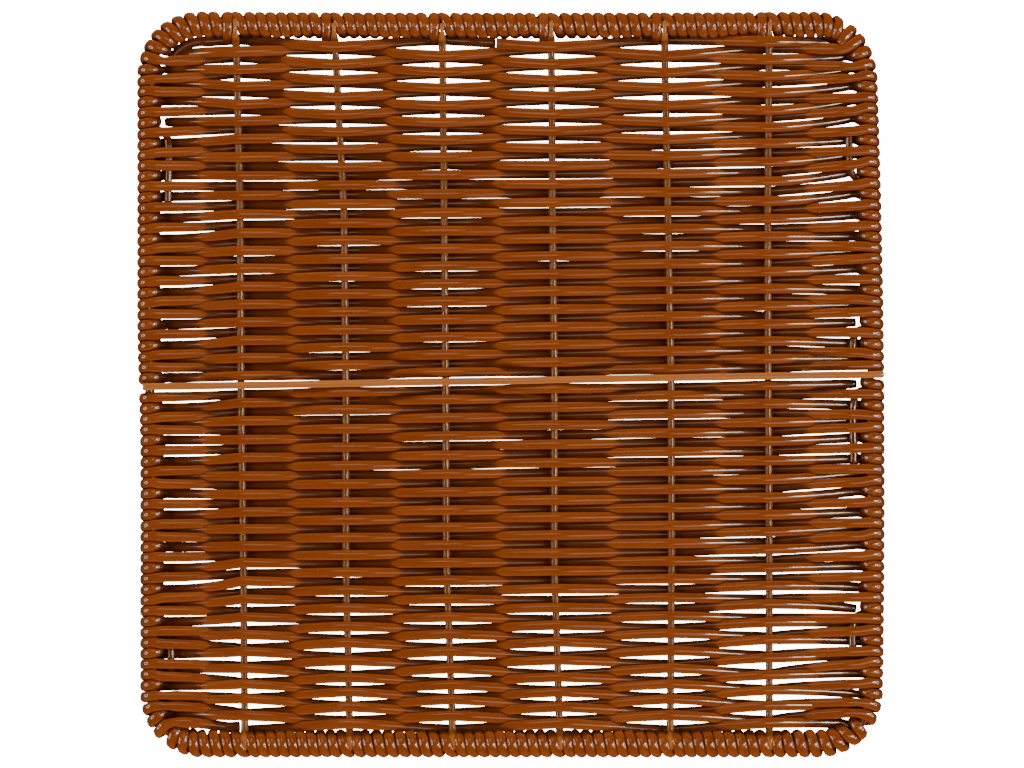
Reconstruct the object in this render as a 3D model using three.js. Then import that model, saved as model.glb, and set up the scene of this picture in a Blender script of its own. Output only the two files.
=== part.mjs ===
import * as THREE from 'three';

// A flat woven panel of poly rattan. A square of frame wire with round corners carries six upright
// stakes and one brace rod. A round strand goes to and fro across the stakes and wraps the side bars
// where it turns, and other lengths of it are wound closely round the top and bottom bars.
// Millimetres. The panel lies flat: X to the right, Y up the panel, Z out of its face.

// Frame wire
const PANEL_SIZE = 300; // outside, over the wrapped bars
const FRAME_WIRE = 4;
const CORNER_RADIUS = 20; // of the wire's centreline
const CLEARANCE = 0.3; // between pieces that touch on the real panel
const WRAP_CLEARANCE = 0.25; // between a bar and the strand wound round it

// Strand
const STRAND_WIDTH = 3.85; // along the bar, where it wraps
const STRAND_THICKNESS = 2.4; // off the bar, where it wraps
const ROW_THICKNESS = 2.6; // front to back, across the stakes
const ROW_HEIGHT = 3.05; // up the panel, squeezed between its neighbours
const TURN_GAP = 0.44; // between turns on a bar
const CORNER_SQUEEZE = 0.97; // a turn on a corner is drawn a little narrower
const ROW_GAP = 0.45; // between the outer rows and the windings beside them

// Rows
const ROWS_ABOVE_ROD = 38;
const ROWS_BELOW_ROD = 39;
const ROD_RISE = 5; // of the rod, from the left bar to the right one
const EDGE_INSET = 16; // from a side bar to where a row has left the stakes' plane
const SHOULDER_INSET = 4.4; // from a side bar to where a row has lined up with its turn
const START_INSET = 11; // from a side bar to a new length's cut start
const FIRST_ROW_TUCK = 5.4; // how far the first row's left end runs in under the corner's winding
const FIRST_ROW_DIP = 2.6; // of that end, below the row

// Tails: where a length of strand ends, it swings round at the bar's back and lies along the bar
const TAIL_WIDTH = 2.8;
const TAIL_THICKNESS = 2.3;
const TAIL_INSET = 8.2; // from the side bar's centreline
const TAIL_BEND = { inset: 6.6, step: 1.4, back: 0.7 }; // on the way there
const TAIL_RUN_IN = 5; // from the turn to where the tail lies along the bar

// Stakes and brace rod
const STAKE_WIRE = 3;
const END_SPAN = 37.38; // from a side bar to the stake beside it, before the offset and drift
const STAKE_OFFSET = -2.8; // of the stakes' middle, from the panel's
const STAKE_DRIFT_TOP = [-1, -4.2, -3.4, -2.2, 0.6, 0.2]; // of each hand-set stake's upper end
const STAKE_DRIFT_BOTTOM = [2.6, 2.2, 1, 1.4, 3, 0.2];
const TAB_WIDTH = 2.8; // of a stake's flattened end
const TAB_THICKNESS = 1.4;
const TAB_TIP_WIDTH = 1.5;
const TAB_TIP_THICKNESS = 1;
const TAB_OVERHANG = 2.7; // of its tip, past the bar's centreline
const BEND_PAST_ROW = 0.1; // from the outer row's edge to where a stake bends forward
const BEND_BEFORE_BAR = 0.2; // from there to the bar
const STAKE_GAP = 0.4; // between a stake's tab and the turn before it
const ROD_WIRE = 3;
const ROD_OVERHANG_LEFT = 2.9;
const ROD_OVERHANG_RIGHT = 3.9;
const ROD_END_WIRE = 2.1; // across the rod's rounded ends
const ROD_END_LENGTH = 0.6;

// Where the windings and the side turns meet on each corner, in degrees from the side bar's outward
// direction: the last turn of a side bar, and the last turn of the top or bottom winding
const CORNER_TURNS = {
  topLeft: { side: 20.4, winding: 33.3 },
  topRight: { side: 54.6, winding: 68.7 },
  bottomLeft: { side: 36, winding: 60 },
  bottomRight: { side: 33.5, winding: 55.5 },
};

// Where one length of strand ends and the next begins: the row before the join, which way its tucked
// tail runs along the side bar, and how long the tail is
const JOINS = [
  { row: 8, way: -1, tail: 30 },
  { row: 15, way: 1, tail: 20 },
  { row: 31, way: -1, tail: 12 },
  { row: 37, way: -1, tail: 30 },
  { row: 61, way: -1, tail: 16 },
  { row: 64, way: -1, tail: 14 },
];
const STAKES_PER_WINDING = 2; // one length of strand winds past this many stakes

// How far a turn has moved along its bar, as a share of the pitch: front to side, and front to back
const SIDE_SHIFT = 0.2;
const BACK_SHIFT = 0.4;

// Sizes that follow from those
const QUARTER_TURN = 90; // degrees, round a corner
const TURN_SIDES = 6;
const HALF_CORNER = Math.PI / TURN_SIDES;
const WRAP_LEVEL = FRAME_WIRE / 2 + WRAP_CLEARANCE + STRAND_THICKNESS / 2; // from bar to strand, middles
const WRAP_RADIUS = WRAP_LEVEL / Math.cos(HALF_CORNER);
const WRAP_HALF = STRAND_THICKNESS / 2 / Math.cos(HALF_CORNER);
const WRAP_REACH = WRAP_RADIUS + WRAP_HALF;
const MIDDLE_Z = WRAP_LEVEL + STRAND_THICKNESS / 2; // the frame wire's height, over the ground
const BAR = PANEL_SIZE / 2 - WRAP_REACH; // the frame wire's centreline, from the middle
const STRAIGHT = BAR - CORNER_RADIUS;
const TURN_PITCH = STRAND_WIDTH + TURN_GAP;
const STAKE_Z = FRAME_WIRE / 2 - STAKE_WIRE / 2; // stakes are flush with the frame wire's front
const STAKE_COUNT = STAKE_DRIFT_TOP.length;
const STAKE_PITCH = (2 * (BAR - END_SPAN)) / (STAKE_COUNT - 1);
const ROD_Z = FRAME_WIRE / 2 + CLEARANCE + ROD_WIRE / 2;
const OVER_STAKE = STAKE_WIRE / 2 + CLEARANCE + ROW_THICKNESS / 2;
const LAST_ROW = ROWS_ABOVE_ROD + ROWS_BELOW_ROD - 1;
const SLOTS = LAST_ROW + 1; // the rod takes one row's place
const TOP_ROW_Y = BAR - WRAP_REACH - ROW_GAP - ROW_HEIGHT / 2;
const SLOT_PITCH = (2 * TOP_ROW_Y) / SLOTS;
const ROD_SLOT = ROWS_ABOVE_ROD;
const ROD_SLOPE = ROD_RISE / (2 * BAR);
const TURN_TO_ROD = ROD_WIRE / 2 + CLEARANCE + STRAND_WIDTH / 2;
const TURN_TO_STAKE = STAKE_WIRE / 2 + STAKE_GAP + STRAND_WIDTH / 2; // before it, as the strand winds
const TURN_PAST_STAKE = TURN_TO_STAKE + SIDE_SHIFT * TURN_PITCH;

const UP = new THREE.Vector3(0, 0, 1);
const UP_PANEL = new THREE.Vector3(0, 1, 0);
const SIDES = {
  left: { out: new THREE.Vector3(-1, 0, 0), along: new THREE.Vector3(0, 1, 0) },
  right: { out: new THREE.Vector3(1, 0, 0), along: new THREE.Vector3(0, 1, 0) },
  top: { out: new THREE.Vector3(0, 1, 0), along: new THREE.Vector3(1, 0, 0) },
  bottom: { out: new THREE.Vector3(0, -1, 0), along: new THREE.Vector3(-1, 0, 0) },
};

const strandMaterial = new THREE.MeshStandardMaterial({ color: 0x8f4514, roughness: 0.35, metalness: 0 });
const wireMaterial = new THREE.MeshStandardMaterial({ color: 0xb8652a, roughness: 0.3, metalness: 0.1 });

const group = new THREE.Group();

function addPiece(name, geometry, material) {
  const mesh = new THREE.Mesh(geometry, material);
  mesh.name = name;
  mesh.position.z = MIDDLE_Z;
  group.add(mesh);
}

function sum(...terms) {
  const total = new THREE.Vector3();
  for (const [direction, amount] of terms) {
    total.addScaledVector(direction, amount);
  }
  return total;
}

// The frame wire's centreline beside one side's middle: s runs along the side and round its corners
function barAt(side, s) {
  const beyond = Math.abs(s) - STRAIGHT;
  if (beyond <= 0) {
    return { place: sum([side.out, BAR], [side.along, s]), out: side.out, along: side.along };
  }
  const end = Math.sign(s);
  const turn = beyond / CORNER_RADIUS;
  const out = sum([side.out, Math.cos(turn)], [side.along, end * Math.sin(turn)]);
  const along = sum([side.along, Math.cos(turn)], [side.out, -end * Math.sin(turn)]);
  const centre = sum([side.out, STRAIGHT], [side.along, end * STRAIGHT]);
  return { place: centre.addScaledVector(out, CORNER_RADIUS), out, along };
}

// The place on a bar that many degrees round its corner
function cornerPlace(degrees) {
  return STRAIGHT + CORNER_RADIUS * THREE.MathUtils.degToRad(degrees);
}

// A closed tube through rings that each have their points in order
function tubeGeometry(rings, closed) {
  const sides = rings[0].length;
  const positions = rings.flat().flatMap((point) => [point.x, point.y, point.z]);
  const index = [];
  const spans = closed ? rings.length : rings.length - 1;
  for (let ring = 0; ring < spans; ring += 1) {
    const next = (ring + 1) % rings.length;
    for (let side = 0; side < sides; side += 1) {
      const beside = (side + 1) % sides;
      const a = ring * sides + side;
      const b = ring * sides + beside;
      const c = next * sides + beside;
      const d = next * sides + side;
      index.push(a, b, c, a, c, d);
    }
  }
  if (!closed) {
    const last = (rings.length - 1) * sides;
    for (let side = 1; side < sides - 1; side += 1) {
      index.push(0, side + 1, side);
      index.push(last, last + side, last + side + 1);
    }
  }
  const geometry = new THREE.BufferGeometry();
  geometry.setAttribute('position', new THREE.Float32BufferAttribute(positions, 3));
  geometry.setIndex(index);
  return geometry;
}

// A ring of a round or oval wire: across and deep are its half sizes along two directions
function wireRing(centre, acrossWay, across, deepWay, deep, sides) {
  const ring = [];
  for (let side = 0; side < sides; side += 1) {
    const angle = (2 * Math.PI * (side + 0.5)) / sides;
    const point = centre.clone();
    point.addScaledVector(acrossWay, across * Math.cos(angle));
    point.addScaledVector(deepWay, deep * Math.sin(angle));
    ring.push(point);
  }
  return ring;
}

// A ring of strand: its width lies along one direction and its thickness along another
function strandRing(centre, widthWay, width, thickWay, halfThickness) {
  const corners = [[1, 1], [1, -1], [-1, -1], [-1, 1]];
  return corners.map(([w, t]) =>
    centre.clone().addScaledVector(widthWay, (w * width) / 2).addScaledVector(thickWay, t * halfThickness));
}

function middleOf(ring) {
  return sum(...ring.map((point) => [point, 1 / ring.length]));
}

// Frame wire
function frameWire() {
  const sides = 8;
  const cornerSteps = 8;
  const rings = [];
  for (let corner = 0; corner < 4; corner += 1) {
    for (let step = 0; step <= cornerSteps; step += 1) {
      const angle = (Math.PI / 2) * (corner + step / cornerSteps);
      const middle = (Math.PI / 2) * (corner + 0.5);
      const out = new THREE.Vector3(Math.cos(angle), Math.sin(angle), 0);
      const centre = new THREE.Vector3(Math.cos(middle), Math.sin(middle), 0);
      centre.multiplyScalar(STRAIGHT * Math.SQRT2).addScaledVector(out, CORNER_RADIUS);
      rings.push(wireRing(centre, UP, FRAME_WIRE / 2, out, FRAME_WIRE / 2, sides));
    }
  }
  return tubeGeometry(rings, true);
}

// Stakes
function stakeX(stake, y) {
  const up = (y + BAR) / (2 * BAR);
  const drift = STAKE_DRIFT_BOTTOM[stake] * (1 - up) + STAKE_DRIFT_TOP[stake] * up;
  return STAKE_OFFSET + STAKE_PITCH * (stake - (STAKE_COUNT - 1) / 2) + drift;
}

// A stake is round up to the outer rows, then bends forward and ends in a flat tab on the bar's front
function stakeWire(stake) {
  const sides = 8;
  const round = STAKE_WIRE / 2;
  const tab = TAB_THICKNESS / 2;
  const tabZ = FRAME_WIRE / 2 + CLEARANCE + tab;
  const bendY = TOP_ROW_Y + ROW_HEIGHT / 2 + BEND_PAST_ROW;
  const tabY = BAR - FRAME_WIRE / 2 - BEND_BEFORE_BAR;
  const tipY = BAR + TAB_OVERHANG;
  const half = [
    { y: bendY, z: STAKE_Z, across: round, deep: round },
    { y: tabY, z: tabZ, across: TAB_WIDTH / 2, deep: tab },
    { y: tipY - round, z: tabZ, across: TAB_WIDTH / 2, deep: tab },
    { y: tipY, z: tabZ, across: TAB_TIP_WIDTH / 2, deep: TAB_TIP_THICKNESS / 2 },
  ];
  const stations = [...half.map((station) => ({ ...station, y: -station.y })).reverse(), ...half];
  const sideways = new THREE.Vector3(1, 0, 0);
  const rings = stations.map(({ y, z, across, deep }) =>
    wireRing(new THREE.Vector3(stakeX(stake, y), y, z), UP, deep, sideways, across, sides));
  return tubeGeometry(rings, false);
}

// Rows
function slotOf(row) {
  return row < ROWS_ABOVE_ROD ? row : row + 1;
}

function slotY(slot, x) {
  const share = slot < ROD_SLOT ? slot / ROD_SLOT : (SLOTS - slot) / (SLOTS - ROD_SLOT);
  return TOP_ROW_Y - slot * SLOT_PITCH + share * ROD_SLOPE * x;
}

// Brace rod
function braceRod() {
  const sides = 12;
  const radius = ROD_WIRE / 2;
  const left = -BAR - ROD_OVERHANG_LEFT;
  const right = BAR + ROD_OVERHANG_RIGHT;
  const stations = [
    { x: left, half: ROD_END_WIRE / 2 },
    { x: left + ROD_END_LENGTH, half: radius },
    { x: right - ROD_END_LENGTH, half: radius },
    { x: right, half: ROD_END_WIRE / 2 },
  ];
  const rings = stations.map(({ x, half }) =>
    wireRing(new THREE.Vector3(x, slotY(ROD_SLOT, x), ROD_Z), UP_PANEL, half, UP, half, sides));
  return tubeGeometry(rings, false);
}

// A strand that wraps a bar narrows on the inside of a corner, where its turns crowd together
function turnWidth(pitch, s, inset) {
  const atCorner = Math.abs(s) > STRAIGHT - TURN_PITCH / 2;
  const crowding = atCorner ? Math.min(CORNER_SQUEEZE, (CORNER_RADIUS + inset) / CORNER_RADIUS) : 1;
  return Math.min(STRAND_WIDTH, pitch * crowding - TURN_GAP);
}

// One ring of a turn. Degrees: 90 is the bar's front, 0 its outside, -90 its back, 180 its inside.
// Facing is 1 where the strand's upper side looks away from the bar, and -1 where it looks at it.
function turnRing(side, s, degrees, pitch, facing) {
  const { place, out, along } = barAt(side, s);
  const angle = THREE.MathUtils.degToRad(degrees);
  const away = sum([out, Math.cos(angle)], [UP, Math.sin(angle)]);
  const inset = Math.cos(angle) * WRAP_RADIUS - Math.abs(Math.cos(angle)) * WRAP_HALF;
  const centre = place.addScaledVector(away, WRAP_RADIUS);
  const width = turnWidth(pitch, s, inset);
  return strandRing(centre, along, width, away.multiplyScalar(facing), WRAP_HALF);
}

// One ring of a row's end, level with the bar's front (1) or back (-1), some way inside the bar
function flatRing(side, s, inset, level, pitch, upper) {
  const { place, out, along } = barAt(side, s);
  const centre = place.addScaledVector(out, -inset).addScaledVector(UP, level * WRAP_LEVEL);
  const width = Math.min(turnWidth(pitch, s, -inset), ROW_HEIGHT);
  return strandRing(centre, along, width, UP.clone().multiplyScalar(upper), STRAND_THICKNESS / 2);
}

// From one front pass round to the next. The step along the bar is even, but past a stake or the rod
// the strand crosses the bar's back on a slant.
function betweenTurns(side, from, to, pitch, facing, count) {
  const rings = [
    turnRing(side, from - SIDE_SHIFT * pitch, 0, pitch, facing),
    turnRing(side, from - BACK_SHIFT * pitch, -60, pitch, facing),
    turnRing(side, to + BACK_SHIFT * pitch, -120, pitch, facing),
    turnRing(side, to + SIDE_SHIFT * pitch, 180, pitch, facing),
  ];
  return rings.slice(0, count);
}

// Evenly spread front passes from one place on a bar to another
function spread(from, to) {
  const steps = Math.max(1, Math.round(Math.abs(from - to) / TURN_PITCH));
  const pitch = Math.abs(from - to) / steps;
  const places = [];
  for (let step = 0; step <= steps; step += 1) {
    places.push({ s: from + ((to - from) * step) / steps, pitch });
  }
  return places;
}

// Shares a run of turns out among row ends, so that each gets one or two
function shareOut(places, ends) {
  const shares = [];
  let taken = 0;
  for (let end = 0; end < ends; end += 1) {
    const upTo = Math.max(taken + 1, Math.round((places.length * (end + 1)) / ends));
    shares.push(places.slice(taken, upTo));
    taken = upTo;
  }
  return shares;
}

// The turns on the side bars, by the row that arrives there
function sideTurns() {
  const rodLeft = slotY(ROD_SLOT, -BAR);
  const rodRight = slotY(ROD_SLOT, BAR);
  const turns = new Map();
  const leftAbove = spread(cornerPlace(CORNER_TURNS.topLeft.side), rodLeft + TURN_TO_ROD);
  const leftBelow = spread(rodLeft - TURN_TO_ROD, -cornerPlace(CORNER_TURNS.bottomLeft.side));
  const rightAbove = spread(cornerPlace(CORNER_TURNS.topRight.side), rodRight + TURN_TO_ROD);
  const rightBelow = spread(rodRight - TURN_TO_ROD, -cornerPlace(CORNER_TURNS.bottomRight.side));
  const first = rightAbove.shift();
  const overRod = [rightAbove.pop(), rightBelow.shift()];
  shareOut(leftAbove, ROWS_ABOVE_ROD / 2 - 1).forEach((share, end) => turns.set(2 + 2 * end, share));
  shareOut(leftBelow, (ROWS_BELOW_ROD + 1) / 2).forEach((share, end) =>
    turns.set(ROWS_ABOVE_ROD + 2 * end, share));
  shareOut(rightAbove, ROWS_ABOVE_ROD / 2 - 1).forEach((share, end) => turns.set(1 + 2 * end, share));
  turns.set(ROWS_ABOVE_ROD - 1, overRod);
  shareOut(rightBelow, (ROWS_BELOW_ROD - 1) / 2).forEach((share, end) =>
    turns.set(ROWS_ABOVE_ROD + 1 + 2 * end, share));
  return { first, turns };
}

// Even rows run from right to left, and odd rows from left to right
function isEven(row) {
  return row % 2 === 0;
}

function upperWay(row) {
  return isEven(row) ? 1 : -1;
}

function barX(y) {
  const beyond = Math.abs(y) - STRAIGHT;
  return beyond <= 0 ? BAR : STRAIGHT + Math.sqrt(CORNER_RADIUS ** 2 - beyond ** 2);
}

function edgeRing(row, atRight, level, inset) {
  const slot = slotOf(row);
  const reach = barX(slotY(slot, 0)) - inset;
  const x = atRight ? reach : -reach;
  const centre = new THREE.Vector3(x, slotY(slot, x), level * WRAP_LEVEL);
  return strandRing(centre, UP_PANEL, ROW_HEIGHT, sum([UP, upperWay(row)]), STRAND_THICKNESS / 2);
}

// A row between its two edges: in front of every other stake and behind the rest
function rowRings(row) {
  const slot = slotOf(row);
  const rings = [];
  for (let stake = 0; stake < STAKE_COUNT; stake += 1) {
    const x = stakeX(stake, slotY(slot, 0));
    const inFront = isEven(row) === (stake % 2 === 1);
    const z = STAKE_Z + (inFront ? OVER_STAKE : -OVER_STAKE);
    const centre = new THREE.Vector3(x, slotY(slot, x), z);
    rings.push(strandRing(centre, UP_PANEL, ROW_HEIGHT, sum([UP, upperWay(row)]), ROW_THICKNESS / 2));
  }
  const leftward = isEven(row);
  if (leftward) {
    rings.reverse();
  }
  return [edgeRing(row, leftward, -1, EDGE_INSET), ...rings, edgeRing(row, !leftward, 1, EDGE_INSET)];
}

// From a row's front end round its side bar to the back, with one or two turns
function turnsAtEnd(row, share) {
  const side = isEven(row) ? SIDES.left : SIDES.right;
  const upper = upperWay(row);
  const rings = [flatRing(side, share[0].s, SHOULDER_INSET, 1, share[0].pitch, upper)];
  share.forEach(({ s, pitch }, turn) => {
    if (turn > 0) {
      rings.push(turnRing(side, s, 120, pitch, upper));
    }
    rings.push(turnRing(side, s, 60, pitch, upper));
    const isLast = turn === share.length - 1;
    const next = isLast ? s - pitch : share[turn + 1].s;
    rings.push(...betweenTurns(side, s, next, pitch, upper, isLast ? 2 : 4));
  });
  return rings;
}

function backShoulder(row, share) {
  const side = isEven(row) ? SIDES.left : SIDES.right;
  const { s, pitch } = share[share.length - 1];
  return flatRing(side, s - (1 - SIDE_SHIFT) * pitch, SHOULDER_INSET, -1, pitch, -upperWay(row));
}

// A tail leaves its last turn at the bar's back and ends between the front and back rows
function tailRings(row, share, way, length) {
  const side = isEven(row) ? SIDES.left : SIDES.right;
  const { s, pitch } = share[share.length - 1];
  const start = s - (1 - BACK_SHIFT) * pitch;
  const stations = [
    { inset: TAIL_BEND.inset, step: TAIL_BEND.step, back: TAIL_BEND.back, inward: Math.SQRT1_2 },
    { inset: TAIL_INSET, step: TAIL_RUN_IN, back: 0, inward: 0 },
    { inset: TAIL_INSET, step: length, back: 0, inward: 0 },
  ];
  const rings = [turnRing(side, start, -120, pitch, upperWay(row))];
  for (const { inset, step, back, inward } of stations) {
    const { place, out, along } = barAt(side, start + way * step);
    const forward = sum([out, -inward], [along, way * Math.sqrt(1 - inward ** 2)]);
    const thickWay = sum([UP, -upperWay(row)]);
    const widthWay = forward.cross(thickWay);
    const centre = place.addScaledVector(out, -inset).addScaledVector(UP, -back);
    rings.push(strandRing(centre, widthWay, TAIL_WIDTH, thickWay, TAIL_THICKNESS / 2));
  }
  return rings;
}

// A length's cut start, at the back near the side bar that its first row leaves
function startRing(row) {
  return edgeRing(row, isEven(row), -1, START_INSET);
}

// The first row starts with a turn on the right bar, high on its corner
function firstRowStart(first) {
  const { s, pitch } = first;
  const side = SIDES.right;
  return [
    flatRing(side, s, SHOULDER_INSET, 1, pitch, -1),
    turnRing(side, s, 60, pitch, -1),
    ...betweenTurns(side, s, s - pitch, pitch, -1, 2),
    flatRing(side, s - (1 - SIDE_SHIFT) * pitch, SHOULDER_INSET, -1, pitch, 1),
  ];
}

// The first row's left end is tucked in under the corner's winding
function firstRowEnd() {
  const centre = new THREE.Vector3(-STRAIGHT - FIRST_ROW_TUCK, TOP_ROW_Y - FIRST_ROW_DIP, WRAP_LEVEL);
  return strandRing(centre, UP_PANEL, ROW_HEIGHT, UP, STRAND_THICKNESS / 2);
}

// The last row's end goes once round the left bar and stops on the bar's inside
function lastRowEnd(share) {
  const { s, pitch } = share[share.length - 1];
  return betweenTurns(SIDES.left, s, s - pitch, pitch, 1, 4).slice(2);
}

// Measures a strand's least gap to itself, on points of its surface
function leastGap(rings) {
  const steps = 3;
  const apart = 10; // along the strand: nearer points belong to one bend
  const near = 8;
  const stations = [];
  const centres = rings.map(middleOf);
  let travelled = 0;
  for (let ring = 0; ring < rings.length - 1; ring += 1) {
    const length = centres[ring].distanceTo(centres[ring + 1]);
    for (let step = 0; step < steps; step += 1) {
      const share = step / steps;
      const corners = rings[ring].map((point, side) => point.clone().lerp(rings[ring + 1][side], share));
      const middles = corners.map((point, side) =>
        point.clone().lerp(corners[(side + 1) % corners.length], 0.5));
      const centre = centres[ring].clone().lerp(centres[ring + 1], share);
      stations.push({ centre, points: [...corners, ...middles], at: travelled + share * length });
    }
    travelled += length;
  }
  let least = Infinity;
  stations.forEach((one, index) => {
    for (const other of stations.slice(index + 1)) {
      if (other.at - one.at < apart || one.centre.distanceTo(other.centre) > near) {
        continue;
      }
      for (const a of one.points) {
        for (const b of other.points) {
          least = Math.min(least, a.distanceTo(b));
        }
      }
    }
  });
  return least;
}

function addStrand(name, rings) {
  addPiece(name, tubeGeometry(rings, false), strandMaterial);
  console.log(`${name}: least gap to itself ${leastGap(rings).toFixed(2)} mm`);
}

// Weaving strands, one node for each length
function addWeavers() {
  const { first, turns } = sideTurns();
  const joins = new Map(JOINS.map((join) => [join.row, join]));
  let number = 1;
  let rings = [...firstRowStart(first), ...rowRings(0), firstRowEnd()];
  addStrand(`weaver_${number}`, rings);
  rings = [startRing(1)];
  for (let row = 1; row <= LAST_ROW; row += 1) {
    const share = turns.get(row);
    rings.push(...rowRings(row), ...turnsAtEnd(row, share));
    const join = joins.get(row);
    if (join || row === LAST_ROW) {
      const end = join ? tailRings(row, share, join.way, join.tail) : lastRowEnd(share);
      rings.push(...end);
      number += 1;
      addStrand(`weaver_${number}`, rings);
      rings = [startRing(row + 1)];
    } else {
      rings.push(backShoulder(row, share));
    }
  }
}

// Front passes of a winding, one list for each stretch between two stakes
function windingStretches(side, from, to, stakePlaces) {
  const stretches = [];
  let start = from;
  for (const stake of stakePlaces) {
    stretches.push(spread(start, stake + TURN_TO_STAKE));
    start = stake - TURN_PAST_STAKE;
  }
  stretches.push(spread(start, to));
  return stretches;
}

// One length of a winding. It starts on the bar's inside and ends on its back.
function windingRings(side, passes, isEnd) {
  const start = passes[0];
  const rings = [turnRing(side, start.s + SIDE_SHIFT * start.pitch, 180, start.pitch, 1)];
  passes.forEach(({ s, pitch }, pass) => {
    rings.push(turnRing(side, s, 120, pitch, 1));
    rings.push(turnRing(side, s, 60, pitch, 1));
    const isLast = pass === passes.length - 1;
    const next = isLast ? s - pitch : passes[pass + 1].s;
    const lastCount = isEnd ? 2 : 3;
    rings.push(...betweenTurns(side, s, next, pitch, 1, isLast ? lastCount : 4));
  });
  return rings;
}

function addWindings(name, side, from, to, stakePlaces, leftFirst) {
  const stretches = windingStretches(side, from, to, stakePlaces);
  const lengths = [];
  for (let start = 0; start < stretches.length; start += STAKES_PER_WINDING) {
    const passes = stretches.slice(start, start + STAKES_PER_WINDING).flat();
    lengths.push(windingRings(side, passes, start + STAKES_PER_WINDING >= stretches.length));
  }
  if (!leftFirst) {
    lengths.reverse();
  }
  lengths.forEach((rings, index) => addStrand(`${name}_${index + 1}`, rings));
}

const stakes = Array.from({ length: STAKE_COUNT }, (_, stake) => stake);

addPiece('frame_wire', frameWire(), wireMaterial);
for (const stake of stakes) {
  addPiece(`stake_${stake + 1}`, stakeWire(stake), wireMaterial);
}
addPiece('brace_rod', braceRod(), wireMaterial);
addWeavers();
addWindings(
  'top_binding',
  SIDES.top,
  cornerPlace(QUARTER_TURN - CORNER_TURNS.topRight.winding),
  -cornerPlace(QUARTER_TURN - CORNER_TURNS.topLeft.winding),
  stakes.map((stake) => stakeX(stake, BAR)).reverse(),
  false,
);
addWindings(
  'bottom_binding',
  SIDES.bottom,
  cornerPlace(QUARTER_TURN - CORNER_TURNS.bottomLeft.winding),
  -cornerPlace(QUARTER_TURN - CORNER_TURNS.bottomRight.winding),
  stakes.map((stake) => -stakeX(stake, -BAR)),
  true,
);

export default group;
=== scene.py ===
import math
import random

import bpy
import numpy as np
from mathutils import Matrix, Vector


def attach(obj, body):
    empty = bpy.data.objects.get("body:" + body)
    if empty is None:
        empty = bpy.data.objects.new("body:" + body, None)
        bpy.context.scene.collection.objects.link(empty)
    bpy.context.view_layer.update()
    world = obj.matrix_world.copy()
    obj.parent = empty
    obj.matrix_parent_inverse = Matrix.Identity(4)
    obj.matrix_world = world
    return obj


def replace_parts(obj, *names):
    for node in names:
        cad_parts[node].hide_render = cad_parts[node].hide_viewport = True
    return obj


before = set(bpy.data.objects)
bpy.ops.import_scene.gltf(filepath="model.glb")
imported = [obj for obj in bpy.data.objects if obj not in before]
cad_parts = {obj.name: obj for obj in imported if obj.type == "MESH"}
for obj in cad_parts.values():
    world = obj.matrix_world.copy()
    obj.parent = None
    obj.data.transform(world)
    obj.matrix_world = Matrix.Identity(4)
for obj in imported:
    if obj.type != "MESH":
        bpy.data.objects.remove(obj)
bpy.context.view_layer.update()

# A flat woven panel of poly rattan. The paths follow the CAD's, with the strand round and smooth, and
# with the small unevenness of handwork. Sizes are in millimetres: X to the right, Y up the panel, and Z
# out of its face, from the middle of the frame wire. The sweeps turn them into metres above the floor.

MM = 0.001

# Frame wire
PANEL_SIZE = 300.0
FRAME_WIRE = 4.0
CORNER_RADIUS = 20.0
WRAP_CLEARANCE = 0.25

# Strand, as the CAD has it
STRAND_THICKNESS = 2.4
ROW_THICKNESS = 2.6
ROW_HEIGHT = 3.05
CAD_STRAND_WIDTH = 3.85
TURN_GAP = 0.44
ROW_GAP = 0.45

# Strand, as it shows
TURN_WIDTH = 4.2
TURN_THICKNESS = 2.5
CREST_WIDTH = 4.05
CREST_THICKNESS = 2.75
MIDDLE_WIDTH = 3.85
MIDDLE_THICKNESS = 3.0
START_WIDTH = 3.4
START_THICKNESS = 2.6
TAIL_WIDTH = 3.2
TAIL_THICKNESS = 2.7

# Turns on the bars. Their reach on a bar's inside is a share of that on its outside
INNER_REACH = {"left": 0.9, "right": 0.9, "top": 1.04, "bottom": 1.2}
TURN_TO_STAKE = 2.4
TURN_PAST_STAKE = 3.0
# How much further in a slack turn hangs
SLACK = 3.0
# How far along the bar a turn moves between its front and its outside, as a share of the pitch
WINDING_SHIFT = 0.33
UNDER_TAB_SHIFT = 0.6
SLACK_SHIFT = 0.04
SIDE_SHIFT = 0.14

# Rows
ROWS_ABOVE_ROD = 38
ROWS_BELOW_ROD = 39
ROD_RISE = 5.0
SHOULDER_INSET = 5.0
START_INSET = 6.0
SPAN_STEPS = 8
# How far a row's shoulder leans from its turn towards the row's own height, and the most in pitches
LEAN = 0.3
MOST_LEAN = 0.35
# Where the first row is joined and the last one cut
FIRST_ROW_JOINT = -5.5
LAST_ROW_JOINT = -109.8

# Stakes and brace rod
STAKE_WIRE = 3.0
END_SPAN = 37.38
STAKE_OFFSET = -2.8
STAKE_DRIFT_TOP = [-1.0, -4.2, -3.4, -2.2, 0.6, 0.2]
STAKE_DRIFT_BOTTOM = [2.6, 2.2, 1.0, 1.4, 3.0, 0.2]
# How far each stake bows off its straight line a quarter, a half and three quarters of the way up
STAKE_BOW = [(0.3, 0.3, 0.8), (0.0, 1.6, 2.3), (-1.5, -0.8, -0.3),
             (-1.4, -0.4, -0.4), (1.2, 1.6, 0.9), (0.0, -0.4, -0.6)]
CLEARANCE = 0.3
# The stakes' flattened ends: past the middle of the bar at the bottom, and at the top
TAB_OVERHANG = 2.7
TAB_TOP = [1.6, 0.2, 0.1, 1.2, 1.0, 0.6]
ROD_WIRE = 3.0
ROD_WIDTH = 2.95
# The rod's ends past the middle of the side bars. Its rounded tips come on top of that
ROD_OVERHANG_LEFT = 2.9
ROD_OVERHANG_RIGHT = 3.0

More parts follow.
